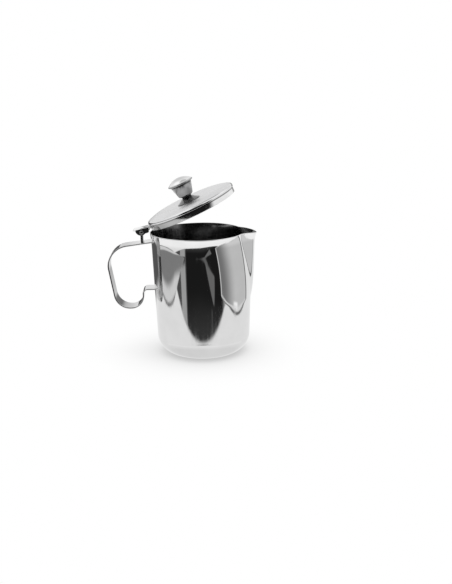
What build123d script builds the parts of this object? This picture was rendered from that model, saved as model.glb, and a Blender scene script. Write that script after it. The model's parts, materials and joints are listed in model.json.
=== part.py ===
from build123d import *
import math
import os

# Hot milk jug with a hinged lid. Millimetres, +Z up. The origin is the centre of the flat
# underside, +X points to the pouring lip and -X to the handle. The lid stands part open at rest.

# Jug body
RIM_Z = 136.5
BASE_R = 52.0
TOP_R = 55.9
CORNER_R = 21.0
WALL_T = 0.8
FLARE_H = 7.0
FLARE_OUT = 1.0

FLARE_Z = RIM_Z - FLARE_H

# Pouring lip, pinched out of the wall; spans are half angles in degrees
LIP_H = 74.5
LIP_SPAN = 95.0
LIP_HALF = 33.0
RIDGE_FOOT_HALF = 12.0
RIDGE_POWER = 7
PINCH_IN = 10.6
RIDGE_OUT = 2.8
BEAK_OUT = 4.8
BEAK_DROOP = 1.8
BEAK_RUN = 13.7
BEAK_BOW = 0.2
LIP_FOOT_Z = RIM_Z - LIP_H
LIP_POINTS = 26
WALL_SECTIONS = 6
RIM_SECTIONS = 2
FULL_TURN = 360

# Strap handle, hung below the rim and set out from the wall
STRAP_T = 1.5
STRAP_W = 23.0
STRAP_END_W = 20.0
STRAP_DOWN = 9.3
STRAP_FALL = 7.0
STRAP_H = 53.6
LOOP_H = 20.7
GRIP_TOP_OUT = 51.1
GRIP_LOW_OUT = 43.4
RETURN_OUT = 14.2
STRAP_IN = 4.0
STRAP_TOP_Z = RIM_Z - STRAP_DOWN
STRAP_LOW_Z = STRAP_TOP_Z - STRAP_H
STRAP_BOTTOM_Z = STRAP_LOW_Z - LOOP_H
GRIP_TOP_X = -TOP_R - GRIP_TOP_OUT
GRIP_LOW_X = -BASE_R - GRIP_LOW_OUT
RETURN_X = -BASE_R - RETURN_OUT
HIDDEN_X = -BASE_R + STRAP_IN
GRIP_TOP_R = 23.0
GRIP_LOW_R = 17.5
RETURN_R = 13.4
LOOP_FLAT = 0.5
FOOT_BEND_R = 4.7

# Lid, smaller than the mouth and set back from its middle
MOUTH_GAP = 5.3
LID_BACK = 4.6
LID_UP = 5.7
LID_T = 0.8
LID_EDGE_H = 1.0
EDGE_ROUND = 2.6
EDGE_SWEEP = 70.0
CROWN_IN = 16.3
CROWN_RISE = 5.6
SEAT_R = 13.7
SEAT_RISE = 3.5
SKIRT_T = 0.8
SKIRT_H = 7.2
SEAM = 0.02
LID_X = -LID_BACK
LID_Z = RIM_Z + LID_UP
LID_R = TOP_R - MOUTH_GAP
CROWN_R = LID_R - CROWN_IN
SKIRT_R = LID_R - LID_T - SEAM

# Lid hinge, behind the lid and just above the rim
HINGE_OUT = 10.5
HINGE_UP = 0.9
HINGE_X = LID_X - LID_R - HINGE_OUT
HINGE_Z = RIM_Z + HINGE_UP
OPEN_ANGLE = 24.0
PIN_R = 1.3
PIN_RUN = 0.05
PIN_SEAT = 0.02
PIN_HEAD_R = 2.4
PIN_HEAD_T = 1.1
KNUCKLE_R = 2.5
KNUCKLE_W = 13.4
STEM_T = 3.0
STEM_W = 11.0
SIDE_GAP = 0.35

# Thumb lever, a folded strip with two cheeks, half round below the pin and straight toward the lid
LEVER_T = 1.2
LEVER_TILT = 11.3
LEVER_LIFT = 2.9
LEVER_TAIL = 8.8
CHEEK_R = 6.2
FLANGE_OUT = 8.5
FLANGE_H = 4.8
FLANGE_CORNER_R = 2.0
LEVER_W = KNUCKLE_W + 2 * (SIDE_GAP + LEVER_T)
TAIL_CORNER_R = 4.0
TAB_H = 4.0

# Knob
FOOT_R = 12.9
FOOT_EDGE = 0.7
FOOT_H = 5.4
FOOT_HOLLOW = 0.35
WAIST_R = 5.3
RING_H = 1.2
BELL_LOW_R = 7.9
BELL_TOP_R = 12.0
BELL_H = 14.0
HEEL_R = 2.5
CAP_R = 14.1
CAP_EDGE = 2.4
CAP_RISE = 5.0
SPIGOT_R = 6.5
SPIGOT_H = 3.0
SPIGOT_FIT = 0.05
SCREW_R = 2.0
SCREW_FIT = 0.2
SCREW_HEAD_R = 3.9
SCREW_HEAD_H = 2.0
SCREW_IN = 9.5
THREAD_FIT = 0.02
SLOT_W = 1.0
SLOT_D = 1.0
WASHER_R = 6.5
WASHER_T = 0.8

SIDE_PLANE = Plane.XZ


def wall_radius(z):
    """Outer wall radius of the round jug at height z: a straight draft, then the straight rim flare."""
    draft = BASE_R + (TOP_R - BASE_R) * (z - CORNER_R) / (RIM_Z - CORNER_R)
    return draft + FLARE_OUT * max(0.0, z - FLARE_Z) / FLARE_H


def lip_offset(angle, z):
    """Radial offset of the lip: the wall drawn in over a wide arc with a ridge pushed out mid-way."""
    climb = (z - LIP_FOOT_Z) / (RIM_Z - LIP_FOOT_Z)
    pinch = PINCH_IN * climb**2
    beak = (BEAK_OUT - RIDGE_OUT) * max(0.0, z - FLARE_Z) / FLARE_H
    ridge = pinch + RIDGE_OUT * (1 - (1 - climb) ** RIDGE_POWER) + beak
    half = RIDGE_FOOT_HALF + (LIP_HALF - RIDGE_FOOT_HALF) * climb
    drawn_in = math.cos(math.radians(90 * angle / LIP_SPAN)) ** 2
    pushed_out = math.cos(math.radians(90 * min(1.0, abs(angle) / half))) ** 2
    return ridge * pushed_out - pinch * drawn_in


def section(z, inset):
    """Level section of the jug at height z, moved inward by inset: a round back and the lip's curve."""
    radius = wall_radius(z) - inset
    back = CenterArc((0, 0, z), radius, LIP_SPAN, FULL_TURN - 2 * LIP_SPAN)
    if z <= LIP_FOOT_Z:
        front = CenterArc((0, 0, z), radius, -LIP_SPAN, 2 * LIP_SPAN)
        return make_face(Curve() + [back, front])
    points = []
    for i in range(LIP_POINTS + 1):
        angle = LIP_SPAN * (2 * i / LIP_POINTS - 1)
        reach = radius + lip_offset(angle, z)
        turn = math.radians(angle)
        points.append((reach * math.cos(turn), reach * math.sin(turn), z))
    side = math.radians(LIP_SPAN)
    start = (math.sin(side), math.cos(side), 0)
    end = (-math.sin(side), math.cos(side), 0)
    front = Spline(*points, tangents=[start, end], tangent_scalars=[1, 1])
    return make_face(Curve() + [back, front])


def filled_jug(inset):
    """The jug as a full solid, every wall moved inward by inset."""
    corner = CORNER_R - inset
    low = wall_radius(CORNER_R) - inset
    high = wall_radius(LIP_FOOT_Z) - inset
    flat = low - corner
    sides = Polyline((low, CORNER_R), (high, LIP_FOOT_Z), (0, LIP_FOOT_Z), (0, inset), (flat, inset))
    bend = CenterArc((flat, CORNER_R), corner, -90, 90)
    cup = revolve(SIDE_PLANE * make_face(Curve() + [sides, bend]), Axis.Z)
    wall_step = (FLARE_Z - LIP_FOOT_Z) / WALL_SECTIONS
    wall = loft([section(LIP_FOOT_Z + wall_step * i, inset) for i in range(WALL_SECTIONS + 1)])
    rim_step = FLARE_H / RIM_SECTIONS
    rim = loft([section(FLARE_Z + rim_step * i, inset) for i in range(RIM_SECTIONS + 1)])
    return cup + wall + rim


def turned(*profile):
    """A turned piece from its half outline, given as (radius, height) corners."""
    return revolve(SIDE_PLANE * make_face(Polyline(*profile, close=True)), Axis.Z)


def turned_curve(curve, *corners):
    """A turned piece whose half outline is one curve closed by straight lines through the corners."""
    return revolve(SIDE_PLANE * make_face(Curve() + [curve, Polyline(*corners)]), Axis.Z)


def filled_lid(inset):
    """The lid's cover as a full solid, moved in by inset: rounded edge, low crown and a level seat."""
    edge_x = LID_R - EDGE_ROUND
    edge = CenterArc((edge_x, 0), EDGE_ROUND - inset, 0, EDGE_SWEEP)
    sweep = math.radians(EDGE_SWEEP)
    rise = (-math.sin(sweep), math.cos(sweep))
    seat = (SEAT_R, SEAT_RISE - inset)
    crown_top = (CROWN_R, CROWN_RISE - inset)
    crown = Spline(edge @ 1, crown_top, seat, tangents=[rise, (-1, 0)], tangent_scalars=[1, 1])
    low = -LID_EDGE_H
    rim_r = LID_R - inset
    rest = Polyline(seat, (0, SEAT_RISE - inset), (0, low), (rim_r, low), (rim_r, 0))
    return revolve(SIDE_PLANE * make_face(Curve() + [edge, crown, rest]), Axis.Z)


def opened(shape):
    """Turns a piece of the closed lid about the hinge pin to the rest pose."""
    return shape.rotate(Axis((HINGE_X, 0, HINGE_Z), (0, -1, 0)), OPEN_ANGLE)


def on_lid(shape):
    """Puts a piece drawn about the lid's own axis onto the closed lid, then opens it to the rest pose."""
    return opened(Pos(LID_X, 0, LID_Z) * shape)


os.makedirs("parts", exist_ok=True)

# Jug body: filled outside minus filled inside, then the beak's edge is trimmed to a falling curve
jug_outside = filled_jug(0)
jug_body = jug_outside - filled_jug(WALL_T)
tip_x = TOP_R + FLARE_OUT + BEAK_OUT
tip_z = RIM_Z - BEAK_DROOP
over_x = tip_x + BEAK_OUT
over_z = RIM_Z + BEAK_DROOP
fall_x = tip_x - BEAK_RUN
fall = SagittaArc((fall_x, RIM_Z), (tip_x, tip_z), BEAK_BOW)
above = Polyline(fall @ 1, (over_x, tip_z), (over_x, over_z), (fall_x, over_z), fall @ 0)
trim = extrude(SIDE_PLANE * make_face(Curve() + [fall, above]), amount=BASE_R, both=True)
jug_body = jug_body - trim
export_step(jug_body, "parts/jug_body.step")

# Strap handle: a bent strip whose two ends meet the wall, narrower toward the wall.
# The grip's lower bend leaves a flat between it and the next bend, however steep the grip is.
corners = [
    (HIDDEN_X, STRAP_TOP_Z),
    (GRIP_TOP_X, STRAP_TOP_Z - STRAP_FALL),
    (GRIP_LOW_X, STRAP_BOTTOM_Z),
    (RETURN_X, STRAP_BOTTOM_Z),
    (RETURN_X, STRAP_LOW_Z),
    (HIDDEN_X, STRAP_LOW_Z),
]
grip_turn = math.atan2(STRAP_TOP_Z - STRAP_FALL - STRAP_BOTTOM_Z, GRIP_LOW_X - GRIP_TOP_X)
low_room = RETURN_X - GRIP_LOW_X - RETURN_R - LOOP_FLAT
low_bend_r = min(GRIP_LOW_R, low_room / math.tan(grip_turn / 2))
strap_line = FilletPolyline(*corners, radius=[GRIP_TOP_R, low_bend_r, RETURN_R, FOOT_BEND_R])
strip = extrude(SIDE_PLANE * trace(strap_line, STRAP_T), amount=STRAP_W / 2, both=True)
width_plan = Polyline(
    (HIDDEN_X, -STRAP_END_W / 2),
    (RETURN_X, -STRAP_END_W / 2),
    (GRIP_LOW_X, -STRAP_W / 2),
    (GRIP_TOP_X - STRAP_T, -STRAP_W / 2),
    (GRIP_TOP_X - STRAP_T, STRAP_W / 2),
    (GRIP_LOW_X, STRAP_W / 2),
    (RETURN_X, STRAP_END_W / 2),
    (HIDDEN_X, STRAP_END_W / 2),
    close=True,
)
handle_strap = strip & extrude(make_face(width_plan), amount=RIM_Z)
handle_strap = handle_strap - jug_outside
export_step(handle_strap, "parts/handle_strap.step")

# Hinge knuckle: a bored barrel on a flat stem that stands on the strap
strap_slope = STRAP_FALL / (HIDDEN_X - GRIP_TOP_X)
stem_foot_z = STRAP_TOP_Z + strap_slope * (HINGE_X - HIDDEN_X)
stem_h = HINGE_Z - stem_foot_z
pin_line = Pos(HINGE_X, 0, HINGE_Z) * Rot(90, 0, 0)
stem = Pos(HINGE_X, 0, stem_foot_z + stem_h / 2) * Box(STEM_T, STEM_W, stem_h)
knuckle = stem + pin_line * Cylinder(KNUCKLE_R, KNUCKLE_W)
knuckle = knuckle - pin_line * Cylinder(PIN_R + PIN_RUN, 2 * KNUCKLE_W)
hinge_knuckle = knuckle - handle_strap
export_step(hinge_knuckle, "parts/hinge_knuckle.step")

# Hinge pin: a round pin with a domed head at each end, held in the lever's cheeks
head_out = LEVER_W / 2
head_side = 4 * PIN_HEAD_R
head_ball_r = (PIN_HEAD_R**2 + PIN_HEAD_T**2) / (2 * PIN_HEAD_T)
hinge_pin = pin_line * Cylinder(PIN_R, LEVER_W)
for side in (-1, 1):
    ball = Pos(HINGE_X, side * (head_out + PIN_HEAD_T - head_ball_r), HINGE_Z) * Sphere(head_ball_r)
    slab = Pos(HINGE_X, side * (head_out + head_ball_r), HINGE_Z) * Box(head_side, 2 * head_ball_r, head_side)
    hinge_pin = hinge_pin + (ball & slab)
export_step(hinge_pin, "parts/hinge_pin.step")

# Thumb lever: drawn level about the pin, tilted, then joined to a tab that lies on the lid's skirt
lever_reach = LID_X - SKIRT_R - HINGE_X + CHEEK_R
strip_len = LEVER_TAIL + lever_reach
lever_plate = Box(strip_len, LEVER_W, LEVER_T)
lever_plate = Pos(strip_len / 2 - LEVER_TAIL, 0, LEVER_LIFT + LEVER_T / 2) * lever_plate
tail_edges = lever_plate.edges().filter_by(Axis.Z).group_by(Axis.X)[0]
lever_plate = fillet(tail_edges, TAIL_CORNER_R)
cheek_pair = Part()
for side in (-1, 1):
    cheek_y = side * (LEVER_W - LEVER_T) / 2
    disc = Pos(0, cheek_y, LEVER_LIFT) * Rot(90, 0, 0) * Cylinder(CHEEK_R, LEVER_T)
    below = Pos(0, cheek_y, LEVER_LIFT - CHEEK_R / 2) * Box(2 * CHEEK_R, LEVER_T, CHEEK_R)
    flange = Pos(FLANGE_OUT / 2, cheek_y, LEVER_LIFT - FLANGE_H / 2) * Box(FLANGE_OUT, LEVER_T, FLANGE_H)
    low_corner = flange.edges().filter_by(Axis.Y).group_by(Axis.X)[-1].sort_by(Axis.Z)[0]
    cheek_pair = cheek_pair + (disc & below) + fillet(low_corner, FLANGE_CORNER_R)
cheek_pair = cheek_pair - Rot(90, 0, 0) * Cylinder(PIN_R + PIN_SEAT, 2 * LEVER_W)
lever = Pos(HINGE_X, 0, HINGE_Z) * Rot(0, LEVER_TILT, 0) * (lever_plate + cheek_pair)
tab_top = LID_Z - LID_EDGE_H - SEAM
tab_ring = Cylinder(SKIRT_R + LEVER_T, TAB_H) - Cylinder(SKIRT_R, TAB_H)
tab_block = Pos(-SKIRT_R, 0, 0) * Box(SKIRT_R, LEVER_W, TAB_H)
tab = Pos(LID_X, 0, tab_top - TAB_H / 2) * (tab_ring & tab_block)
lever = lever - Pos(LID_X, 0, LID_Z) * Cylinder(SKIRT_R, 4 * SKIRT_H)
lever = lever - Pos(LID_X, 0, tab_top + SKIRT_H) * Cylinder(LID_R + SEAM, 2 * SKIRT_H)
thumb_lever = opened(lever + tab)
export_step(thumb_lever, "parts/thumb_lever.step")

# Lid shell: filled outside minus the same shape moved in by the sheet, with a hole for the screw
screw_hole = Cylinder(SCREW_R + SCREW_FIT, 12 * SKIRT_H)
lid_shell = filled_lid(0) - filled_lid(LID_T) - screw_hole
export_step(on_lid(lid_shell), "parts/lid_shell.step")

# Lid skirt: a plain ring inside the turned-down edge
skirt_in = SKIRT_R - SKIRT_T
lid_skirt = turned((skirt_in, -SKIRT_H), (SKIRT_R, -SKIRT_H), (SKIRT_R, 0), (skirt_in, 0))
export_step(on_lid(lid_skirt), "parts/lid_skirt.step")

# Knob foot: a thin flange that sweeps up to the waist
foot_z = SEAT_RISE
sweep_z = foot_z + FOOT_EDGE
waist_z = foot_z + FOOT_H
sweep_line = SagittaArc((FOOT_R, sweep_z), (WAIST_R, waist_z), FOOT_HOLLOW)
foot_corners = [(0, waist_z), (0, foot_z), (FOOT_R, foot_z)]
knob_foot = turned_curve(sweep_line, sweep_line @ 1, *foot_corners, sweep_line @ 0) - screw_hole
export_step(on_lid(knob_foot), "parts/knob_foot.step")

# Knob ring: the dark collar between foot and bell
bore = SCREW_R + SCREW_FIT
bell_z = waist_z + RING_H
knob_ring = turned((bore, waist_z), (WAIST_R, waist_z), (WAIST_R, bell_z), (bore, bell_z))
export_step(on_lid(knob_ring), "parts/knob_ring.step")

# Knob bell: a cup-shaped grip, bored for the screw below and socketed for the cap above
cap_z = bell_z + BELL_H
thread_r = SCREW_R + THREAD_FIT
bore_top = bell_z + SCREW_IN + THREAD_FIT
socket_z = cap_z - SPIGOT_H - SPIGOT_FIT
knob_bell = turned((0, bell_z), (BELL_LOW_R, bell_z), (BELL_TOP_R, cap_z), (0, cap_z))
knob_bell = fillet(knob_bell.edges().sort_by(Axis.Z)[0], HEEL_R)
knob_bell = knob_bell - turned((0, bell_z), (thread_r, bell_z), (thread_r, bore_top), (0, bore_top))
knob_bell = knob_bell - turned((0, socket_z), (SPIGOT_R, socket_z), (SPIGOT_R, cap_z), (0, cap_z))
export_step(on_lid(knob_bell), "parts/knob_bell.step")

# Knob cap: a low dome with a rolled edge and a spigot in the bell's socket
edge_roll = CAP_EDGE / 2
roll_r = CAP_R - edge_roll
cap_top = cap_z + CAP_EDGE + CAP_RISE
dome_r = (roll_r**2 + CAP_RISE**2) / (2 * CAP_RISE)
roll = CenterArc((roll_r, cap_z + edge_roll), edge_roll, -90, 180)
cap_dome = RadiusArc((roll_r, cap_z + CAP_EDGE), (0, cap_top), -dome_r)
spigot_r = SPIGOT_R - SPIGOT_FIT
spigot_z = cap_z - SPIGOT_H
cap_rest = Polyline((0, cap_top), (0, spigot_z), (spigot_r, spigot_z), (spigot_r, cap_z), (roll_r, cap_z))
knob_cap = revolve(SIDE_PLANE * make_face(Curve() + [roll, cap_dome, cap_rest]), Axis.Z)
export_step(on_lid(knob_cap), "parts/knob_cap.step")

# Knob washer and the slotted screw that holds the knob from inside the lid
washer_top = SEAT_RISE - LID_T
washer_low = washer_top - WASHER_T
knob_washer = turned((bore, washer_low), (WASHER_R, washer_low), (WASHER_R, washer_top), (bore, washer_top))
export_step(on_lid(knob_washer), "parts/knob_washer.step")
head_low = washer_low - SCREW_HEAD_H
screw_top = bell_z + SCREW_IN
screw_shank = turned((0, washer_low), (SCREW_R, washer_low), (SCREW_R, screw_top), (0, screw_top))
screw_head = turned((0, head_low), (SCREW_HEAD_R, head_low), (SCREW_HEAD_R, washer_low), (0, washer_low))
slot = Pos(0, 0, head_low) * Box(3 * SCREW_HEAD_R, SLOT_W, 2 * SLOT_D)
knob_screw = screw_shank + screw_head - slot
export_step(on_lid(knob_screw), "parts/knob_screw.step")
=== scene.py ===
import json
import math

import bpy
import numpy as np
from mathutils import Matrix


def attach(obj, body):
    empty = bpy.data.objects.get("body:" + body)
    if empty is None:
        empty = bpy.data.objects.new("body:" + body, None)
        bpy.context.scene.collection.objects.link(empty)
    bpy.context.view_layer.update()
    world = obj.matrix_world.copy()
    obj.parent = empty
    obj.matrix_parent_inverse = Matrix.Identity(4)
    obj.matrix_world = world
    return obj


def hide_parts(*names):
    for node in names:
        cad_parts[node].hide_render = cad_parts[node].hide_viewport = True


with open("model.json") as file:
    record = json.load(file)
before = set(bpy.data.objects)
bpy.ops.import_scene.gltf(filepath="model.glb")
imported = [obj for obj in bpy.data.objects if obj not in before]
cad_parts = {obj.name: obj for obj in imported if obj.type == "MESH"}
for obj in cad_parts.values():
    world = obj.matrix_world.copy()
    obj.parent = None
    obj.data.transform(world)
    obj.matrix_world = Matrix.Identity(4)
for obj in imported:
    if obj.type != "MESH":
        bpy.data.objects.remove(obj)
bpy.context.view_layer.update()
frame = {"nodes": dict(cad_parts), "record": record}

# Hot milk jug. Sizes are in millimetres in the frame of the solids: the origin lies under the jug,
# +Z is up and +X points to the pouring lip. Meshes are written in metres.
MM = 0.001
TINY = 1e-6

# Jug body and its pinched pouring lip
RIM_Z, BASE_R, TOP_R, CORNER_R, WALL_T = 136.5, 52.0, 55.9, 21.0, 0.8
FLARE_H, FLARE_OUT, FLARE_BLEND, BEAK_BLEND = 7.0, 1.0, 1.6, 0.5
FLARE_Z = RIM_Z - FLARE_H
LIP_FOOT_Z, LIP_SPAN, LIP_HALF, RIDGE_FOOT_HALF = 62.0, 95.0, 33.0, 12.0
PINCH_IN, RIDGE_OUT, RIDGE_POWER = 10.6, 2.8, 7
BEAK_OUT, BEAK_DROOP, BEAK_RUN, BEAK_BOW = 4.8, 1.8, 13.7, 0.2
HOLLOW_IN, HOLLOW_DOWN, HOLLOW_FROM, HOLLOW_SPAN = 0.75, 8.0, 20.0, 70.0
HUB_R, FINE_Z = 2.0, FLARE_Z - 2

# Strap handle
STRAP_T, STRAP_W, STRAP_END_W, STRAP_EDGE = 1.5, 23.0, 20.0, 0.55
STRAP_TOP_Z, STRAP_LOW_Z, STRAP_BOTTOM_Z, STRAP_FALL = 127.2, 73.6, 52.9, 7.0
GRIP_TOP_X, GRIP_LOW_X, RETURN_X, HIDDEN_X = -107.0, -95.4, -66.2, -48.0
STRAP_BENDS = (23.0, 17.5, 13.4, 4.7)

# Hinge and thumb lever; a bite is how far a piece's own parts run into each other
HINGE_X, HINGE_Z, OPEN_ANGLE = -65.7, 137.4, 24.0
PIN_R, PIN_RUN, PIN_HEAD_R, PIN_HEAD_T, PIN_SINK = 1.3, 0.05, 2.4, 1.1, 0.01
KNUCKLE_R, KNUCKLE_W, KNUCKLE_EDGE, SIDE_GAP = 2.5, 13.4, 0.25, 0.35
STEM_T, STEM_W, STEM_CORNER_R, STEM_CLEAR = 3.0, 11.0, 0.5, 0.4
LEVER_T, LEVER_TILT, LEVER_LIFT, LEVER_TAIL, LEVER_EDGE = 1.2, 11.3, 2.9, 8.8, 0.35
LEVER_W = KNUCKLE_W + 2 * (SIDE_GAP + LEVER_T)
LEVER_TILTED = OPEN_ANGLE - LEVER_TILT
TAIL_CORNER_R, TAB_CORNER_R, TAB_H, TAB_BITE = 4.0, 0.4, 4.0, 0.4
CHEEK_R, CHEEK_EDGE, CHEEK_TOP_R, CHEEK_BITE = 6.2, 0.15, 0.7, 0.75
FLANGE_OUT, FLANGE_H, FLANGE_CORNER_R = 8.5, 4.8, 2.0

# Lid
LID_X, LID_Z, LID_R, LID_T, LID_EDGE_H, LID_ROUND = -4.6, 142.2, 50.6, 0.8, 1.0, 0.3
EDGE_ROUND, EDGE_SWEEP, CROWN_R, CROWN_RISE = 2.6, 70.0, 34.3, 5.6
SEAT_R, SEAT_RISE, SKIRT_T, SKIRT_H, SEAM = 13.7, 3.5, 0.8, 7.2, 0.02
SKIRT_R = LID_R - LID_T - SEAM
# Painted shade in the joint under the lid's edge: its depth and its soft fall, in millimetres
SEAM_SHADE_DEPTH, SEAM_SHADE_SOFT = 1.0, 0.5
BUFFED_FROM, BUFFED_TO = LID_R - 2.2, LID_R - 1.6

# Knob
FOOT_R, FOOT_EDGE, FOOT_H, FOOT_HOLLOW, FOOT_ROUND = 12.9, 0.7, 5.4, 0.35, 0.25
WAIST_R, RING_H, RING_ROUND = 5.3, 1.2, 0.3
BELL_LOW_R, BELL_TOP_R, BELL_H, HEEL_R = 7.9, 12.0, 14.0, 2.5
CAP_R, CAP_EDGE, CAP_RISE, CAP_SEAT_IN = 14.1, 2.4, 5.0, 0.5
BORE_R, AXIS_R, KNOB_ROUND = 2.2, 0.05, 0.2

# Rings, turns and steps of the meshes
JUG_TURNS, LID_TURNS, KNOB_TURNS, HINGE_TURNS, FLOOR_TURNS = 360, 288, 192, 64, 96
BASE_RINGS, BEND_RINGS, WALL_RINGS, FLARE_RINGS, ROLL_RINGS = 7, 28, 70, 22, 11
STRAP_RINGS, STRAP_BEND_STEPS, STRAP_ACROSS = 420, 40, 17
EDGE_STEPS, CROWN_STEPS, CHEEK_STEPS, TAB_STEPS = 16, 26, 34, 25
HEAD_STEPS, CAP_ROLL_STEPS, CAP_DOME_STEPS = 14, 17, 40

# Surroundings: the floor, and the camera fitted to the jug's outline
FLOOR_NEAR_R, FLOOR_FAR_R, FLOOR_DROP, FLOOR_SHADE_M, FLOOR_DIM = 60.0, 3000.0, 0.05, 0.08, 0.55
CAMERA_AWAY_M, CAMERA_HIGH_M, FOCAL_PX, FRAME_PX, SENSOR = 0.85, 0.28751, 780.018, 584, 36.0
CAMERA_PAN, CAMERA_TILT, CAMERA_ROLL = 1.7456, 14.5738, -0.7951


def mesh_piece(name, points, *face_sets):
    """A smooth mesh object from an array of points in millimetres and arrays of faces."""
    mesh = bpy.data.meshes.new(name)
    corners = np.concatenate([faces.ravel() for faces in face_sets]).astype(np.int32)
    sizes = np.concatenate([np.full(len(faces), faces.shape[1]) for faces in face_sets])
    starts = (np.cumsum(sizes) - sizes).astype(np.int32)
    mesh.vertices.add(len(points))
    mesh.vertices.foreach_set("co", (points * MM).astype(np.float32).ravel())
    mesh.loops.add(len(corners))
    mesh.loops.foreach_set("vertex_index", corners)
    mesh.polygons.add(len(sizes))
    mesh.polygons.foreach_set("loop_start", starts)
    mesh.polygons.foreach_set("use_smooth", np.ones(len(sizes), bool))
    mesh.update(calc_edges=True)
    mesh.validate()
    piece = bpy.data.objects.new(name, mesh)
    bpy.context.scene.collection.objects.link(piece)
    return piece


def skin(rings, loop=False):
    """Points and faces over rings[k, n, 3]: ring i and ring i + 1 are joined by quads all round.

    Faces look outward when a ring runs right-handed about the way the rings advance. With loop the
    last ring meets the first; without it, a fan to the ring's middle closes each end."""
    k, n, _ = rings.shape
    points = rings.reshape(-1, 3)
    here = np.arange(n)
    ahead = (here + 1) % n
    low = np.arange(k if loop else k - 1)[:, None] * n
    high = (low + n) % (k * n)
    quads = np.stack([low + here, low + ahead, high + ahead, high + here], -1).reshape(-1, 4)
    if loop:
        return points, quads
    last = (k - 1) * n
    points = np.vstack([points, rings[0].mean(0), rings[-1].mean(0)])
    first_fan = np.stack([ahead, here, np.full(n, k * n)], -1)
    last_fan = np.stack([last + here, last + ahead, np.full(n, k * n + 1)], -1)
    return points, quads, np.vstack([first_fan, last_fan])


def joined(*shells):
    """Closed skins put into one: each shell's face numbers are moved past the points before it."""
    points, quads, fans, count = [], [], [], 0
    for shell in shells:
        points.append(shell[0])
        quads.append(shell[1] + count)
        fans += [shell[2] + count] if len(shell) > 2 else []
        count += len(shell[0])
    return (np.vstack(points), np.vstack(quads), *([np.vstack(fans)] if fans else []))


def rounded(corners, radii, steps=7, closed=True):
    """Outline through the corners with each one cut by an arc of its radius.

    Arc centre = corner + bisector * radius / sin(half angle); the arc turns between its two tangent
    points."""
    corners = np.asarray(corners, float)
    radii = np.broadcast_to(np.asarray(radii, float), len(corners))
    back = np.roll(corners, 1, 0) - corners
    ahead = np.roll(corners, -1, 0) - corners
    back /= np.linalg.norm(back, axis=1, keepdims=True)
    ahead /= np.linalg.norm(ahead, axis=1, keepdims=True)
    half = 0.5 * np.arccos(np.clip((back * ahead).sum(1), TINY - 1, 1 - TINY))
    middle = back + ahead
    middle /= np.maximum(np.linalg.norm(middle, axis=1, keepdims=True), TINY)
    centre = corners + middle * (radii / np.sin(half))[:, None]
    reach = (radii / np.tan(half))[:, None]
    start, end = corners + back * reach - centre, corners + ahead * reach - centre
    turn = np.pi - 2 * half[:, None]
    t = np.linspace(0, 1, steps)
    share_start = (np.sin((1 - t) * turn) / np.sin(turn))[..., None]
    share_end = (np.sin(t * turn) / np.sin(turn))[..., None]
    arcs = centre[:, None] + share_start * start[:, None] + share_end * end[:, None]
    if not closed:
        arcs[0], arcs[-1] = corners[0], corners[-1]
    line = arcs.reshape(-1, 2)
    step = np.linalg.norm(line - np.roll(line, 1, 0), axis=1)
    return line[step > TINY]


def sagitta_arc(start, end, rise, steps=24):
    """Arc from start to end whose middle lies rise to the left of the chord.

    Radius = (chord^2 / 4 + rise^2) / (2 * rise)."""
    start, end = np.asarray(start, float), np.asarray(end, float)
    chord = end - start
    length = np.hypot(*chord)
    left = np.array([-chord[1], chord[0]]) / length
    radius = (length**2 / 4 + rise**2) / (2 * abs(rise))
    half = math.asin(length / 2 / radius)
    a = np.linspace(-half, half, steps)
    along = radius * np.sin(a) + length / 2
    up = (radius * np.cos(a) - radius * math.cos(half)) * np.sign(rise)
    return start + np.outer(along / length, chord) + np.outer(up, left)


def turned_rings(outline, turns=KNOB_TURNS):
    """Rings of a turned piece: a point (radius, height) of the outline goes round over the angles a
    as (radius * cos a, radius * sin a, height)."""
    outline = np.asarray(outline, float)
    a = np.linspace(0, 2 * np.pi, turns, endpoint=False)
    rings = np.empty((len(outline), turns, 3))
    rings[..., 0] = outline[:, :1] * np.cos(a)
    rings[..., 1] = outline[:, :1] * np.sin(a)
    rings[..., 2] = outline[:, 1:]
    return rings


def swung(points, degrees):
    """Points drawn about the hinge pin, swung up about it in the side plane."""
    c, s = math.cos(math.radians(degrees)), math.sin(math.radians(degrees))
    x, y, z = points[..., 0], points[..., 1], points[..., 2]
    return np.stack([HINGE_X + x * c - z * s, y, HINGE_Z + x * s + z * c], -1)


def on_lid(points):
    """Points drawn about the lid's axis, put onto the lid at its rest opening."""
    return swung(points + np.array([LID_X - HINGE_X, 0, LID_Z - HINGE_Z]), OPEN_ANGLE)


def along_pin(points):
    """Points drawn about an upright axis, laid along the hinge pin."""
    x, y, z = points[..., 0], points[..., 1], points[..., 2]
    return np.stack([HINGE_X + x, -z, HINGE_Z + y], -1)


def slab(outline, thick, edge, steps=5):
    """Rings of a flat plate with rounded edges.

    At angle a of an edge arc the outline is drawn in along its normals by edge * (1 - cos a), at
    height thick / 2 - edge + edge * sin a. One more ring on each flat side, drawn in further, keeps
    the shading of the flat even."""
    outline = np.asarray(outline, float)
    run = np.roll(outline, -1, 0) - np.roll(outline, 1, 0)
    inward = np.stack([-run[:, 1], run[:, 0]], -1) / np.linalg.norm(run, axis=1, keepdims=True)
    flat_in = 2.2
    a = np.linspace(0, np.pi / 2, steps)
    inset = edge * np.concatenate([[flat_in], 1 - np.sin(a), 1 - np.cos(a), [flat_in]])
    level = thick / 2 - edge + edge * np.concatenate([[1.0], np.cos(a), np.sin(a), [1.0]])
    level[: steps + 1] *= -1
    rings = np.empty((len(inset), len(outline), 3))
    rings[..., :2] = outline + inset[:, None, None] * inward
    rings[..., 2] = level[:, None]
    return rings


def flared(z, blend):
    """Share of a flare at height z: a square that starts blend flare heights below the flare's foot
    and is one at the rim."""
    return (np.maximum(0, (z - FLARE_Z) / FLARE_H + blend) / (1 + blend)) ** 2


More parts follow.
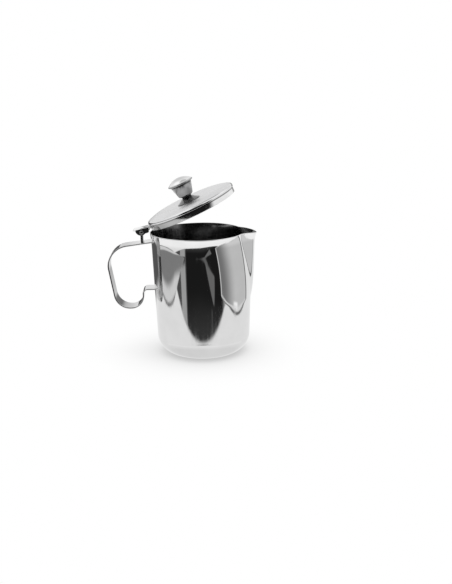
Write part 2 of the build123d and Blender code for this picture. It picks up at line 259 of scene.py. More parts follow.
def wall_radius(z):
    """Outer radius at height z: a straight draft plus the rim flare."""
    draft = BASE_R + (TOP_R - BASE_R) * (z - CORNER_R) / (RIM_Z - CORNER_R)
    return draft + FLARE_OUT * flared(z, FLARE_BLEND)


def lip_offset(angle, z):
    """Radial offset of the lip: -pinch * cos^2 over the wide arc + ridge * cos^2 over the narrow one.

    On the lip's two flanks a shallow hollow, depth * s * exp(1 - s) at s lengths below the rim, sets
    off the rim."""
    climb = np.maximum(0, (z - LIP_FOOT_Z) / (RIM_Z - LIP_FOOT_Z))
    pinch = PINCH_IN * climb**2
    beak = (BEAK_OUT - RIDGE_OUT) * flared(z, BEAK_BLEND)
    ridge = pinch + RIDGE_OUT * (1 - np.maximum(0, 1 - climb) ** RIDGE_POWER) + beak
    half = RIDGE_FOOT_HALF + (LIP_HALF - RIDGE_FOOT_HALF) * climb
    aside = np.abs(angle)
    drawn_in = np.cos(np.radians(90 * np.minimum(1, aside / LIP_SPAN))) ** 2
    pushed_out = np.cos(np.radians(90 * np.minimum(1, aside / half))) ** 2
    flank = np.sin(np.pi * np.clip((aside - HOLLOW_FROM) / HOLLOW_SPAN, 0, 1)) ** 2
    down = (RIM_Z - z) / HOLLOW_DOWN
    hollow = HOLLOW_IN * flank * down * np.exp(1 - down)
    return ridge * pushed_out - pinch * drawn_in - hollow


def jug_rings():
    """Rings of the whole jug sheet: out under the base, up the wall, over the rim and down inside.

    Radius = wall radius + lip offset at the ring's height; near the lip the rim sinks along the
    falling arc."""
    angle = np.linspace(-180, 180, JUG_TURNS, endpoint=False)
    turn = np.radians(angle)
    flat = BASE_R - CORNER_R
    bend = np.linspace(0, np.pi / 2, BEND_RINGS)
    low_wall = np.linspace(CORNER_R, FINE_Z, WALL_RINGS)[1:]
    flare = np.linspace(FINE_Z, RIM_Z - WALL_T / 2, FLARE_RINGS)[1:]
    up = np.concatenate([low_wall, flare])

    tip_r = wall_radius(RIM_Z) + lip_offset(angle, RIM_Z)
    fall = sagitta_arc((0, 0), (BEAK_RUN, BEAK_DROOP), -BEAK_BOW)
    fall_x = TOP_R + FLARE_OUT + BEAK_OUT - BEAK_RUN
    drop = np.interp(tip_r * np.cos(turn) - fall_x, fall[:, 0], fall[:, 1])

    def wall(inset):
        z = np.repeat(up[:, None], JUG_TURNS, 1)
        z = z - drop * np.clip((z - FLARE_Z) / FLARE_H, 0, 1)
        return wall_radius(z) + lip_offset(angle, z) - inset, z

    def cup(inset):
        corner = CORNER_R - inset
        base = np.linspace(HUB_R, flat, BASE_RINGS + 1)[:-1]
        r = np.concatenate([base, flat + corner * np.sin(bend)])
        z = np.concatenate([np.full(BASE_RINGS, inset), CORNER_R - corner * np.cos(bend)])
        return np.repeat(r[:, None], JUG_TURNS, 1), np.repeat(z[:, None], JUG_TURNS, 1)

    (cup_r, cup_z), (in_cup_r, in_cup_z) = cup(0), cup(WALL_T)
    (out_r, out_z), (in_r, in_z) = wall(0), wall(WALL_T)
    roll = np.linspace(0, np.pi, ROLL_RINGS)[1:-1, None]
    mid_r, mid_z = (out_r[-1] + in_r[-1]) / 2, out_z[-1]
    rim_r = mid_r + WALL_T / 2 * np.cos(roll)
    rim_z = mid_z + WALL_T / 2 * np.sin(roll)
    radius = np.vstack([cup_r, out_r, rim_r, in_r[::-1], in_cup_r[::-1]])
    height = np.vstack([cup_z, out_z, rim_z, in_z[::-1], in_cup_z[::-1]])
    return np.stack([radius * np.cos(turn), radius * np.sin(turn), height], -1)


def strap_rings():
    """Rings of the strap: a round-edged section carried along the bent line, widest in the grip.

    Section axes are Y and (line direction x Y); the two end rings lie on the jug's round wall."""
    corners = [
        (HIDDEN_X, STRAP_TOP_Z),
        (GRIP_TOP_X, STRAP_TOP_Z - STRAP_FALL),
        (GRIP_LOW_X, STRAP_BOTTOM_Z),
        (RETURN_X, STRAP_BOTTOM_Z),
        (RETURN_X, STRAP_LOW_Z),
        (HIDDEN_X, STRAP_LOW_Z),
    ]
    line = rounded(corners, (0, *STRAP_BENDS, 0), steps=STRAP_BEND_STEPS, closed=False)
    length = np.concatenate([[0], np.cumsum(np.linalg.norm(np.diff(line, axis=0), axis=1))])
    even = np.linspace(0, length[-1], STRAP_RINGS)
    x, z = np.interp(even, length, line[:, 0]), np.interp(even, length, line[:, 1])
    outside = x < -wall_radius(z) + WALL_T / 2
    x, z = x[outside], z[outside]
    along = np.stack([np.gradient(x), np.gradient(z)], -1)
    along /= np.linalg.norm(along, axis=1, keepdims=True)
    across = np.linspace(-0.5, 0.5, STRAP_ACROSS)
    side = np.stack([across * STRAP_END_W, np.full(STRAP_ACROSS, -STRAP_T / 2)], -1)
    edge = np.where(np.abs(across) == 0.5, STRAP_EDGE, 0)
    section = rounded(np.vstack([side, -side]), np.concatenate([edge, edge]), steps=4)
    width = np.interp(x, [GRIP_LOW_X, RETURN_X], [STRAP_W, STRAP_END_W])
    y = section[:, 0] * width[:, None] / STRAP_END_W
    lift = section[:, 1]
    rings = np.stack([x[:, None] - along[:, 1:] * lift, y, z[:, None] + along[:, :1] * lift], -1)
    for end in (0, -1):
        reach = wall_radius(rings[end, :, 2]) - WALL_T / 4
        rings[end, :, 0] = -np.sqrt(reach**2 - rings[end, :, 1] ** 2)
    return rings


def crown_curve(inset):
    """The lid's cover from its edge arc over the crown to the seat: a clamped cubic through three
    points, each run the sum of its ends and end slopes times the cubic Hermite shares."""
    sweep = math.radians(EDGE_SWEEP)
    edge_r = EDGE_ROUND - inset
    a = np.linspace(0, sweep, EDGE_STEPS)
    edge = np.stack([LID_R - EDGE_ROUND + edge_r * np.cos(a), edge_r * np.sin(a)], -1)
    knots = np.array([edge[-1], (CROWN_R, CROWN_RISE - inset), (SEAT_R, SEAT_RISE - inset)])
    h = np.linalg.norm(np.diff(knots, axis=0), axis=1)
    slope = np.diff(knots, axis=0) / h[:, None]
    first, last = np.array([-math.sin(sweep), math.cos(sweep)]), np.array([-1.0, 0.0])
    mid = (3 * (h[1] * slope[0] + h[0] * slope[1]) - h[1] * first - h[0] * last) / (2 * h.sum())
    t = np.linspace(0, 1, CROWN_STEPS)[1:, None]
    start, leave = 2 * t**3 - 3 * t**2 + 1, t**3 - 2 * t**2 + t
    end, arrive = 3 * t**2 - 2 * t**3, t**3 - t**2

    def run(i, out, into):
        return start * knots[i] + leave * h[i] * out + end * knots[i + 1] + arrive * h[i] * into

    return np.vstack([edge, run(0, first, mid), run(1, mid, last), [(BORE_R, SEAT_RISE - inset)]])


def lid_outline():
    """Closed outline of the pressed cover: outside from the turned-down edge to the bore, and back
    along the inside."""
    inner = LID_R - LID_T
    lip = [(inner, 0), (inner, -LID_EDGE_H), (LID_R, -LID_EDGE_H), (LID_R, 0)]
    lip = rounded(lip, (0, LID_ROUND, LID_ROUND, 0), steps=6)
    return np.vstack([lip[:-1], crown_curve(0), crown_curve(LID_T)[::-1][:-1]])


def skirt_outline():
    """Closed outline of the ring under the cover's edge: a round-cornered upright strip."""
    inner = SKIRT_R - SKIRT_T
    strip = [(inner, -SKIRT_H), (SKIRT_R, -SKIRT_H), (SKIRT_R, 0), (inner, 0)]
    return rounded(strip, LID_ROUND, steps=6)


def lever_shell():
    """Thumb lever: a round-tailed plate, two cheeks and the tab that lies on the lid's skirt.

    A cheek's outline is an arc about the pin's middle line, then a straight flange with a rounded
    corner."""
    half = LEVER_W / 2
    reach = LID_X - SKIRT_R - HINGE_X + TAB_BITE
    plan = [(-LEVER_TAIL, -half), (reach, -half), (reach, half), (-LEVER_TAIL, half)]
    plan = rounded(plan, (TAIL_CORNER_R, TAB_CORNER_R, TAB_CORNER_R, TAIL_CORNER_R), steps=14)
    plate = slab(plan, LEVER_T, LEVER_EDGE)
    plate[..., 2] += LEVER_LIFT + LEVER_T / 2
    shells = [skin(swung(plate, LEVER_TILTED))]

    low, high = LEVER_LIFT - FLANGE_H, LEVER_LIFT + CHEEK_BITE
    bow = np.linspace(np.pi, 2 * np.pi - math.asin(FLANGE_H / CHEEK_R), CHEEK_STEPS)
    arc = np.stack([CHEEK_R * np.cos(bow), LEVER_LIFT + CHEEK_R * np.sin(bow)], -1)
    ends = [(FLANGE_OUT, high), (-CHEEK_R, high)]
    tail = rounded([*ends, arc[0]], (0, CHEEK_TOP_R, 0), closed=False)
    flange = [arc[-1], (FLANGE_OUT, low), *ends]
    flange = rounded(flange, (0, FLANGE_CORNER_R, CHEEK_TOP_R, 0), closed=False)
    cheek = slab(np.vstack([tail[1:-1], arc, flange[1:-1]]), LEVER_T, CHEEK_EDGE)
    for side in (-1, 1):
        y = side * (LEVER_W - LEVER_T) / 2 - cheek[..., 2]
        upright = np.stack([cheek[..., 0], y, cheek[..., 1]], -1)
        shells.append(skin(swung(upright, LEVER_TILTED)))

    top = -LID_EDGE_H - SEAM
    inner, outer = SKIRT_R, SKIRT_R + LEVER_T
    section = [(top - TAB_H, inner), (top, inner), (top, outer), (top - TAB_H, outer)]
    section = rounded(section, LEVER_EDGE)
    wide = math.degrees(math.asin(half / SKIRT_R))
    a = np.radians(np.linspace(180 - wide, 180 + wide, TAB_STEPS))[:, None]
    level = np.repeat(section[None, :, 0], TAB_STEPS, 0)
    tab = np.stack([section[:, 1] * np.cos(a), section[:, 1] * np.sin(a), level], -1)
    shells.append(skin(on_lid(tab)))
    return joined(*shells)


def knuckle_shell():
    """Hinge knuckle: a bored barrel along the pin, and a round-edged stem that stands on the strap.

    The stem starts inside the strap and stops inside the barrel's wall, clear of the bore."""
    half = KNUCKLE_W / 2
    bore = PIN_R + PIN_RUN
    barrel = [(bore, -half), (KNUCKLE_R, -half), (KNUCKLE_R, half), (bore, half)]
    barrel = turned_rings(rounded(barrel, KNUCKLE_EDGE, steps=5), HINGE_TURNS)
    fall = STRAP_FALL / (HIDDEN_X - GRIP_TOP_X)
    foot_z = STRAP_TOP_Z + fall * (HINGE_X - HIDDEN_X) + STRAP_T / 4
    top_z = HINGE_Z - bore - STEM_CLEAR
    x, y = STEM_T / 2, STEM_W / 2
    plan = rounded([(-x, -y), (x, -y), (x, y), (-x, y)], STEM_CORNER_R)
    stem = slab(plan, top_z - foot_z, KNUCKLE_EDGE)
    stem += np.array([HINGE_X, 0, (top_z + foot_z) / 2])
    return joined(skin(along_pin(barrel), loop=True), skin(stem))


def pin_rings():
    """Hinge pin: a plain shank with a domed head at each end, turned about the hinge axis.

    The dome is a ball of radius (head radius^2 + height^2) / (2 * height), left open at its middle
    and just short of the head's edge."""
    half = LEVER_W / 2
    ball = (PIN_HEAD_R**2 + PIN_HEAD_T**2) / (2 * PIN_HEAD_T)
    middle, brim = 0.02, 0.97
    a = np.linspace(middle, math.asin(PIN_HEAD_R / ball) * brim, HEAD_STEPS)
    dome = np.stack([ball * np.sin(a), half + PIN_HEAD_T - ball + ball * np.cos(a)], -1)
    under = [(PIN_HEAD_R, half), (PIN_R, half - PIN_SINK)]
    outline = np.vstack([dome * (1, -1), np.array(under) * (1, -1), under[::-1], dome[::-1]])
    return along_pin(turned_rings(outline, HINGE_TURNS))


def knob_outlines():
    """Outlines of the knob's turned pieces from the lid's seat up, each from its lower to its upper
    middle: arcs for the foot's sweep, the bell's heel, the cap's rolled edge and its dome."""
    foot_z, waist_z = SEAT_RISE, SEAT_RISE + FOOT_H
    bell_z = waist_z + RING_H
    cap_z = bell_z + BELL_H
    sweep = sagitta_arc((FOOT_R, foot_z + FOOT_EDGE), (WAIST_R, waist_z), FOOT_HOLLOW)
    rim = [(AXIS_R, foot_z), (FOOT_R, foot_z), sweep[0], sweep[1]]
    rim = rounded(rim, (0, FOOT_ROUND, KNOB_ROUND, 0), steps=6, closed=False)
    foot = np.vstack([rim[:-1], sweep[2:], [(AXIS_R, waist_z)]])
    ring = [(AXIS_R, waist_z), (WAIST_R, waist_z), (WAIST_R, bell_z), (AXIS_R, bell_z)]
    ring = rounded(ring, (0, RING_ROUND, RING_ROUND, 0), closed=False)
    bell = [(AXIS_R, bell_z), (BELL_LOW_R, bell_z), (BELL_TOP_R, cap_z), (AXIS_R, cap_z)]
    bell = rounded(bell, (0, HEEL_R, KNOB_ROUND, 0), steps=14, closed=False)
    roll = CAP_EDGE / 2
    roll_r = CAP_R - roll
    a = np.linspace(-np.pi / 2, np.pi / 2, CAP_ROLL_STEPS)
    edge = np.stack([roll_r + roll * np.cos(a), cap_z + roll + roll * np.sin(a)], -1)
    dome_r = (roll_r**2 + CAP_RISE**2) / (2 * CAP_RISE)
    dome_z, middle = cap_z + CAP_EDGE + CAP_RISE - dome_r, 0.004
    b = np.linspace(math.asin(roll_r / dome_r), middle, CAP_DOME_STEPS)[1:]
    dome = np.stack([dome_r * np.sin(b), dome_z + dome_r * np.cos(b)], -1)
    cap = np.vstack([[(AXIS_R, cap_z)], [(BELL_TOP_R - CAP_SEAT_IN, cap_z)], edge, dome])
    return {"knob_foot": foot, "knob_ring": ring, "knob_bell": bell, "knob_cap": cap}


def feed(tree, socket, value):
    """Sets a socket to a number, or links another socket to it."""
    if isinstance(value, bpy.types.NodeSocket):
        tree.links.new(value, socket)
    else:
        socket.default_value = value


def calc(tree, operation, a, b=0.0, c=0.0):
    """A Math node's result."""
    node = tree.nodes.new("ShaderNodeMath")
    node.operation = operation
    for socket, value in zip(node.inputs, (a, b, c)):
        feed(tree, socket, value)
    return node.outputs[0]


def ease(tree, value, low, high, out_low=0.0, out_high=1.0):
    """A smooth step of value: out_low at low, out_high at high."""
    node = tree.nodes.new("ShaderNodeMapRange")
    node.interpolation_type = "SMOOTHSTEP"
    for socket, given in zip(node.inputs, (value, low, high, out_low, out_high)):
        feed(tree, socket, given)
    return node.outputs[0]


def split(tree, vector):
    """The three components of a vector, by number or by axis name."""
    node = tree.nodes.new("ShaderNodeSeparateXYZ")
    tree.links.new(vector, node.inputs[0])
    return node.outputs


def noise(tree, vector, scale, detail=3.0, stretch=None):
    """Noise in 0 to 1 over a vector, stretched per axis where asked."""
    if stretch:
        mapping = tree.nodes.new("ShaderNodeMapping")
        mapping.inputs["Scale"].default_value = stretch
        tree.links.new(vector, mapping.inputs["Vector"])
        vector = mapping.outputs["Vector"]
    node = tree.nodes.new("ShaderNodeTexNoise")
    node.inputs["Scale"].default_value = scale
    node.inputs["Detail"].default_value = detail
    tree.links.new(vector, node.inputs["Vector"])
    return node.outputs["Fac"]


def finish_material(name, metal=1.0):
    """A new node material: itself, its tree, its Principled shader and its object coordinates."""
    material = bpy.data.materials.new(name)
    material.use_nodes = True
    tree = material.node_tree
    shader = tree.nodes["Principled BSDF"]
    shader.inputs["Metallic"].default_value = metal
    coords = tree.nodes.new("ShaderNodeTexCoord").outputs["Object"]
    return material, tree, shader, coords


def tint(tree, shader, factor, *stops):
    """Base colour by a factor: each stop is a place from 0 to 1 and the colour there."""
    ramp = tree.nodes.new("ShaderNodeValToRGB")
    elements = ramp.color_ramp.elements
    for place, _ in stops[1:-1]:
        elements.new(place)
    for element, (_, colour) in zip(elements, stops):
        element.color = (*colour, 1)
    tree.links.new(factor, ramp.inputs["Fac"])
    tree.links.new(ramp.outputs["Color"], shader.inputs["Base Color"])


def relief(tree, shader, height, distance):
    """Fine surface relief from a height in 0 to 1, distance in metres."""
    bump = tree.nodes.new("ShaderNodeBump")
    bump.inputs["Strength"].default_value = 1.0
    bump.inputs["Distance"].default_value = distance
    tree.links.new(height, bump.inputs["Height"])
    tree.links.new(bump.outputs["Normal"], shader.inputs["Normal"])


def about_lid(tree, coords):
    """Distance from the lid's axis and height along it, in metres, of the object coordinates."""
    shift = tree.nodes.new("ShaderNodeVectorMath")
    shift.operation = "SUBTRACT"
    shift.inputs[1].default_value = on_lid(np.zeros((1, 3)))[0] * MM
    tree.links.new(coords, shift.inputs[0])
    spin = tree.nodes.new("ShaderNodeVectorRotate")
    spin.rotation_type = "Y_AXIS"
    spin.inputs["Angle"].default_value = math.radians(OPEN_ANGLE)
    tree.links.new(shift.outputs["Vector"], spin.inputs["Vector"])
    x, y, z = split(tree, spin.outputs["Vector"])
    square = calc(tree, "MULTIPLY_ADD", x, x, calc(tree, "MULTIPLY", y, y))
    return calc(tree, "SQRT", square), z


def polished_steel(name, tones, rough, axis, span, seam_shade_z=None):
    """Stainless steel buffed in soft upright streaks, its tone and roughness each between two values.

    The tone goes from the first to the second over a span of one axis, in millimetres, less a haze;
    the ramp is painted light and shade. Above a given height on the lid the tone falls back to the
    first: painted shade in the joint under the lid's edge."""
    material, tree, shader, coords = finish_material(name)
    haze_share = 0.4
    streaks = noise(tree, coords, 1.0, 4.0, stretch=(420, 420, 14))
    haze = noise(tree, coords, 55.0, 2.0)
    low, high = (end * MM for end in span)
    share = ease(tree, split(tree, coords)[axis], low, high, 0.0, 1 - haze_share)
    share = calc(tree, "MULTIPLY_ADD", haze, haze_share, share)
    if seam_shade_z:
        # Painted shade in the joint under the lid's edge: the tone falls back to the first above the
        # given height
        _, up = about_lid(tree, coords)
        share = calc(tree, "MULTIPLY", share, ease(tree, up, seam_shade_z * MM, (seam_shade_z - SEAM_SHADE_SOFT) * MM))
    tint(tree, shader, share, *((place, (tone,) * 3) for place, tone in enumerate(tones)))
    tree.links.new(ease(tree, streaks, 0.3, 0.75, *rough), shader.inputs["Roughness"])
    return material


def knob_shaded_steel():
    """Turned steel of the knob, its tone painted by height: painted shade low down and in the groove
    under the cap, and a painted highlight on the cap."""
    material, tree, shader, coords = finish_material("knob_shaded_steel")
    _, up = about_lid(tree, coords)
    haze = noise(tree, coords, 260.0)
    bell_z = FOOT_H + RING_H
    cap_z = bell_z + BELL_H
    top_z = cap_z + CAP_EDGE + CAP_RISE
    # Painted shade and highlight by height above the lid's seat: dark foot, darkest in the groove
    # under the cap, bright cap
    tones = {
        0.0: 0.16,
        FOOT_H: 0.24,
        bell_z: 0.3,
        bell_z + 0.5 * BELL_H: 0.44,
        cap_z - 1.6: 0.42,
        cap_z - 0.8: 0.1,
        cap_z: 0.1,
        cap_z + 0.3: 0.36,
        cap_z + 0.7 * CAP_EDGE: 0.42,
        cap_z + CAP_EDGE + 0.6: 0.9,
        top_z: 0.62,
    }
    level = calc(tree, "MULTIPLY_ADD", up, 1 / MM / top_z, -SEAT_RISE / top_z)
    level = calc(tree, "MULTIPLY_ADD", haze, 0.02, level)
    tint(tree, shader, level, *((z / top_z, (tone,) * 3) for z, tone in tones.items()))
    tree.links.new(ease(tree, haze, 0.3, 0.75, 0.06, 0.11), shader.inputs["Roughness"])
    return material


def satin_steel():
    """Satin stainless steel: close turning lines round the lid's axis over an even matt grain, buffed
    smooth at the lid's edge."""
    material, tree, shader, coords = finish_material("satin_steel")
    radius, _ = about_lid(tree, coords)
    turning = tree.nodes.new("ShaderNodeTexNoise")
    turning.noise_dimensions = "1D"
    turning.inputs["Scale"].default_value = 2600.0
    turning.inputs["Detail"].default_value = 3.0
    tree.links.new(radius, turning.inputs["W"])
    lines = turning.outputs["Fac"]
    grain = noise(tree, coords, 160.0)
    share = calc(tree, "MULTIPLY_ADD", lines, 0.6, calc(tree, "MULTIPLY", grain, 0.4))
    tint(tree, shader, share, (0, (0.69, 0.69, 0.695)), (1, (0.83, 0.83, 0.835)))
    satin = ease(tree, lines, 0.25, 0.75, 0.27, 0.36)
    rough = ease(tree, radius, BUFFED_FROM * MM, BUFFED_TO * MM, satin, 0.1)
    tree.links.new(rough, shader.inputs["Roughness"])
    relief(tree, shader, lines, 0.000004)
    return material


def black_collar():
    """Black heat-proof plastic: a dull moulded grain with slight colour variation."""
    material, tree, shader, coords = finish_material("black_collar", metal=0.0)
    grain = noise(tree, coords, 900.0, 4.0)
    tint(tree, shader, grain, (0, (0.008, 0.008, 0.008)), (1, (0.022, 0.022, 0.022)))
    shader.inputs["Specular IOR Level"].default_value = 0.15
    tree.links.new(ease(tree, grain, 0.3, 0.7, 0.5, 0.65), shader.inputs["Roughness"])
    relief(tree, shader, grain, 0.00002)
    return material


def tent_world():
    """A white light tent seen by direction: pale all round, with a dark opening and grey walls.

    Bearing is measured from the front (-Y) towards +X and height above the horizon, both in degrees.
    Each layer lies over the one before: a tone, and the shares of bearing and height it covers."""
    world = bpy.data.worlds.new("light_tent")
    bpy.context.scene.world = world
    world.use_nodes = True
    tree = world.node_tree
    back = tree.nodes["Background"]
    back.inputs["Color"].default_value = (1, 1, 1, 1)
    x, y, z = split(tree, tree.nodes.new("ShaderNodeTexCoord").outputs["Generated"])
    bearing = calc(tree, "DEGREES", calc(tree, "ARCTAN2", x, calc(tree, "MULTIPLY", y, -1.0)))
    height = calc(tree, "DEGREES", calc(tree, "ARCSINE", z))

    def window(value, low, high, soft):
        rise = ease(tree, value, low - soft, low + soft)
        return calc(tree, "MULTIPLY", rise, ease(tree, value, high + soft, high - soft))

    def both(*shares):
        total = shares[0]
        for share in shares[1:]:
            total = calc(tree, "MULTIPLY", total, share)
        return total

    def over(below, tone, *shares):
        return calc(tree, "MULTIPLY_ADD", both(*shares), calc(tree, "SUBTRACT", tone, below), below)

    def panel(below, tone, across, upright):
        return over(below, tone, window(bearing, *across), window(height, *upright))

    def over_foot(middle, low, bend, lift=0.0, most=180.0):
        """Height over a wall's curved foot: height - (low + bend * away^2 + lift * away^4)."""
        away = calc(tree, "MINIMUM", calc(tree, "SUBTRACT", bearing, middle), most)
        square = calc(tree, "MULTIPLY", away, away)
        rise = calc(tree, "MULTIPLY_ADD", square, lift, bend)
        return calc(tree, "SUBTRACT", height, calc(tree, "MULTIPLY_ADD", square, rise, low))

    # Pale floor, a lighter band ahead, pale sides, and a bright roof, dimmer behind and overhead
    light = ease(tree, height, -50.0, -33.0, 0.80, 0.88)
    light = panel(light, 0.93, (-115.0, 115.0, 10.0), (-32.5, -24.5, 1.5))
    light = over(light, 0.9, ease(tree, height, -24.0, -22.0))
    light = over(light, 1.1, ease(tree, height, 20.0, 45.0))
    behind = ease(tree, calc(tree, "ABSOLUTE", bearing), 120.0, 145.0)
    light = over(light, 0.85, behind, window(height, 24.0, 60.0, 6.0))
    light = over(light, 0.55, ease(tree, height, 58.0, 68.0))

    # Two dark panels behind
    light = panel(light, 0.3, (152.0, 178.0, 4.0), (-9.0, 13.0, 4.0))
    light = panel(light, 0.1, (-174.0, -122.0, 4.0), (-15.4, 2.0, 0.8))

    # Dark slit left of the opening, with a pale strip
    lower = ease(tree, height, 3.0, -5.0)
    foot = ease(tree, over_foot(-1.0, -22.2, 0.00085, 8e-8), -0.2, 0.3)
    light = over(light, 0.08, window(bearing, -66.0, -38.0, 1.0), foot, lower)
    strip = ease(tree, height, -15.8, -16.4)
    light = over(light, 0.4, window(bearing, -51.8, -40.0, 0.8), foot, strip)

    # Grey left wall with a slanting side, and a pale foot over a thin dark line
    up = over_foot(-82.0, -18.45, 0.0018, most=14.0)
    side = calc(tree, "MINIMUM", calc(tree, "MULTIPLY_ADD", height, 12.0, 145.2), -40.0)
    beside = ease(tree, calc(tree, "SUBTRACT", bearing, side), 1.0, -1.0)
    left = both(ease(tree, bearing, -126.0, -122.0), beside, lower)
    light = over(light, 0.2, left, ease(tree, up, 0.0, 0.2))
    light = over(light, 0.75, left, ease(tree, up, 0.25, 0.6))
    light = over(light, 0.24, left, ease(tree, up, 1.2, 2.1))

    # Dark front opening with a rounded foot, and a dark panel above it
    sides = both(ease(tree, bearing, -39.5, -37.5), ease(tree, bearing, 62.0, 45.0))
    depth = ease(tree, height, -18.0, -22.0, 0.012, 0.04)
    light = over(light, depth, sides, foot, ease(tree, height, 31.0, 24.0))
    light = panel(light, 0.1, (-18.0, 18.0, 5.0), (24.0, 48.0, 5.0))

    # Dim blade, patch and line inside the opening
    blade_left = calc(tree, "MULTIPLY_ADD", height, 4.73, calc(tree, "ADD", bearing, 65.9))
    blade_right = calc(tree, "SUBTRACT", calc(tree, "MULTIPLY_ADD", height, 1.05, 46.6), bearing)
    blade = both(ease(tree, blade_left, -0.8, 0.8), ease(tree, blade_right, -0.8, 0.8))
    light = over(light, 0.16, blade, window(height, -19.2, -15.6, 0.2))
    light = panel(light, 0.13, (-14.0, 16.0, 2.0), (-15.9, -15.4, 0.15))
    light = panel(light, 0.12, (20.2, 21.4, 0.4), (-21.6, -19.7, 0.2))

    # Pale grey right wall with a pale edge, a bright spot and a thin dark line under and beside it
    up = over_foot(79.0, -19.2, 0.0012)
    right = both(window(bearing, 44.5, 128.0, 1.0), lower)
    inner = both(right, ease(tree, bearing, 125.0, 123.0))
    wall_tone = ease(tree, bearing, 50.0, 88.0, 0.2, 0.62)
    light = over(light, 0.12, right, ease(tree, up, 0.0, 0.2))
    light = over(light, 0.8, inner, ease(tree, up, 0.25, 0.45))
    within = ease(tree, bearing, 45.5, 47.0)
    light = over(light, wall_tone, inner, within, ease(tree, up, 0.55, 0.9))
    light = panel(light, 1.1, (79.0, 91.0, 4.0), (-18.5, -17.6, 0.4))

    seen = tree.nodes.new("ShaderNodeLightPath").outputs["Is Camera Ray"]
    tree.links.new(over(light, 1.0, seen), back.inputs["Strength"])


def pale_floor():
    """A wide pale floor: white as the background, dimmed only where the jug stands close over it."""
    rings = turned_rings([(FLOOR_NEAR_R, 0.0), (FLOOR_FAR_R, 0.0)], FLOOR_TURNS)[::-1]
    points, quads, fans = skin(rings)
    floor = mesh_piece("floor", points - np.array([0, 0, FLOOR_DROP]), quads, fans[FLOOR_TURNS:])
    material = bpy.data.materials.new("floor_white")
    material.use_nodes = True
    tree = material.node_tree
    tree.nodes.remove(tree.nodes["Principled BSDF"])
    near = tree.nodes.new("ShaderNodeAmbientOcclusion")
    near.samples = 16
    near.inputs["Distance"].default_value = FLOOR_SHADE_M
    glow = tree.nodes.new("ShaderNodeEmission")
    shade = ease(tree, near.outputs["AO"], 0.0, 1.0, FLOOR_DIM, 1.0)
    tree.links.new(shade, glow.inputs["Strength"])
    tree.links.new(glow.outputs["Emission"], tree.nodes["Material Output"].inputs["Surface"])
    floor.data.materials.append(material)
    floor.visible_glossy = False


def photo_camera():
    """Camera 850 mm in front, looking down 14.6 degrees, with the lens of the 452 x 584 frame."""
    pan, tilt, roll = (math.radians(v) for v in (CAMERA_PAN, CAMERA_TILT, CAMERA_ROLL))
    level = math.cos(tilt)
    ahead = np.array([math.sin(pan) * level, math.cos(pan) * level, -math.sin(tilt)])
    right = np.array([math.cos(pan), -math.sin(pan), 0.0])
    up = np.cross(right, ahead)
    c, s = math.cos(roll), math.sin(roll)
    right, up = right * c + up * s, up * c - right * s
    data = bpy.data.cameras.new("camera")
    data.sensor_width = SENSOR
    data.lens = FOCAL_PX * SENSOR / FRAME_PX
    camera = bpy.data.objects.new("camera", data)
    pose = np.eye(4)
    pose[:3] = np.stack([right, up, -ahead, (0.0, -CAMERA_AWAY_M, CAMERA_HIGH_M)], -1)
    camera.matrix_world = Matrix(pose.tolist())
    bpy.context.scene.collection.objects.link(camera)
    bpy.context.scene.camera = camera


def shade_inside(piece, material):
    """Painted shade on the jug's inner faces: those that look to its axis or up from its floor."""
    faces = piece.data.polygons
    centres = np.empty((len(faces), 3), np.float32)
    normals = np.empty_like(centres)
    faces.foreach_get("center", centres.ravel())
    faces.foreach_get("normal", normals.ravel())
    to_axis = (normals[:, :2] * centres[:, :2]).sum(1) < 0
    on_floor = (normals[:, 2] > 0.5) & (centres[:, 2] < CORNER_R * MM)
    piece.data.materials.append(material)
    faces.foreach_set("material_index", (to_axis | on_floor).astype(np.int32))


# Finishes. The inside, the strap, the skirt and the knob have tones of their own, painted light and
# shade; the jug's rim has a painted highlight.
# Painted highlight: the wall's tone rises to near white over the rim's flare
steel = polished_steel(
    "polished_steel",
    tones=(0.72, 0.98),
    rough=(0.015, 0.045),
    axis="Z",
    span=(FLARE_Z - 4, FLARE_Z + 1),
)
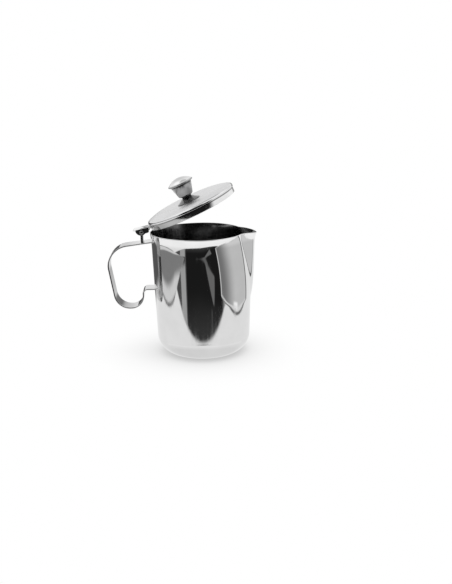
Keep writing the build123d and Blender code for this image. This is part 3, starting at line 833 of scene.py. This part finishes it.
# Painted shade inside the jug: dark near the rim, lighter lower down
inside_shaded_steel = polished_steel(
    "inside_shaded_steel",
    tones=(0.6, 0.08),
    rough=(0.14, 0.26),
    axis="Z",
    span=(RIM_Z - 18, RIM_Z - 5),
)
# Painted shading: the strap's tone goes from dark at its outer grip to bright by the jug
strap_shaded_steel = polished_steel(
    "strap_shaded_steel",
    tones=(0.26, 0.85),
    rough=(0.03, 0.07),
    axis="X",
    span=(GRIP_LOW_X, RETURN_X),
)
# Painted shading: the skirt is dark towards the handle and bright towards the lip, with painted shade
# under the lid's edge
skirt_shaded_steel = polished_steel(
    "skirt_shaded_steel",
    tones=(0.26, 1.0),
    rough=(0.1, 0.16),
    axis="X",
    span=(-48, 20),
    seam_shade_z=-LID_EDGE_H - SEAM_SHADE_DEPTH,
)
satin = satin_steel()
finishes = {"polished_steel": steel, "satin_steel": satin, "black_collar": black_collar()}
special = {"lid_skirt": skirt_shaded_steel, "handle_strap": strap_shaded_steel}
special |= dict.fromkeys(("knob_foot", "knob_bell", "knob_cap", "hinge_pin"), knob_shaded_steel())

# Pieces, each in place of its own solid; the washer and the screw keep theirs, in satin
shapes = {
    "jug_body": skin(jug_rings()),
    "handle_strap": skin(strap_rings()),
    "hinge_knuckle": knuckle_shell(),
    "hinge_pin": skin(pin_rings()),
    "thumb_lever": lever_shell(),
    "lid_shell": skin(on_lid(turned_rings(lid_outline(), LID_TURNS)), loop=True),
    "lid_skirt": skin(on_lid(turned_rings(skirt_outline(), LID_TURNS)), loop=True),
}
for node, outline in knob_outlines().items():
    shapes[node] = skin(on_lid(turned_rings(outline)))
record = frame["record"]
bodies = {node: body for body, nodes in record["behaviour"]["bodies"].items() for node in nodes}
slots = {part["node"]: part["material_slot"] for part in record["subparts"]}
for node, shape in shapes.items():
    piece = mesh_piece(f"{node}_surface", *shape)
    piece.data.materials.append(special.get(node, finishes[slots[node]]))
    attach(piece, bodies[node])
    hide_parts(node)
    if node == "jug_body":
        shade_inside(piece, inside_shaded_steel)
for node in ("knob_washer", "knob_screw"):
    for place in frame["nodes"][node].material_slots:
        place.material = satin

tent_world()
pale_floor()
photo_camera()
bpy.context.scene.view_settings.view_transform = "Standard"
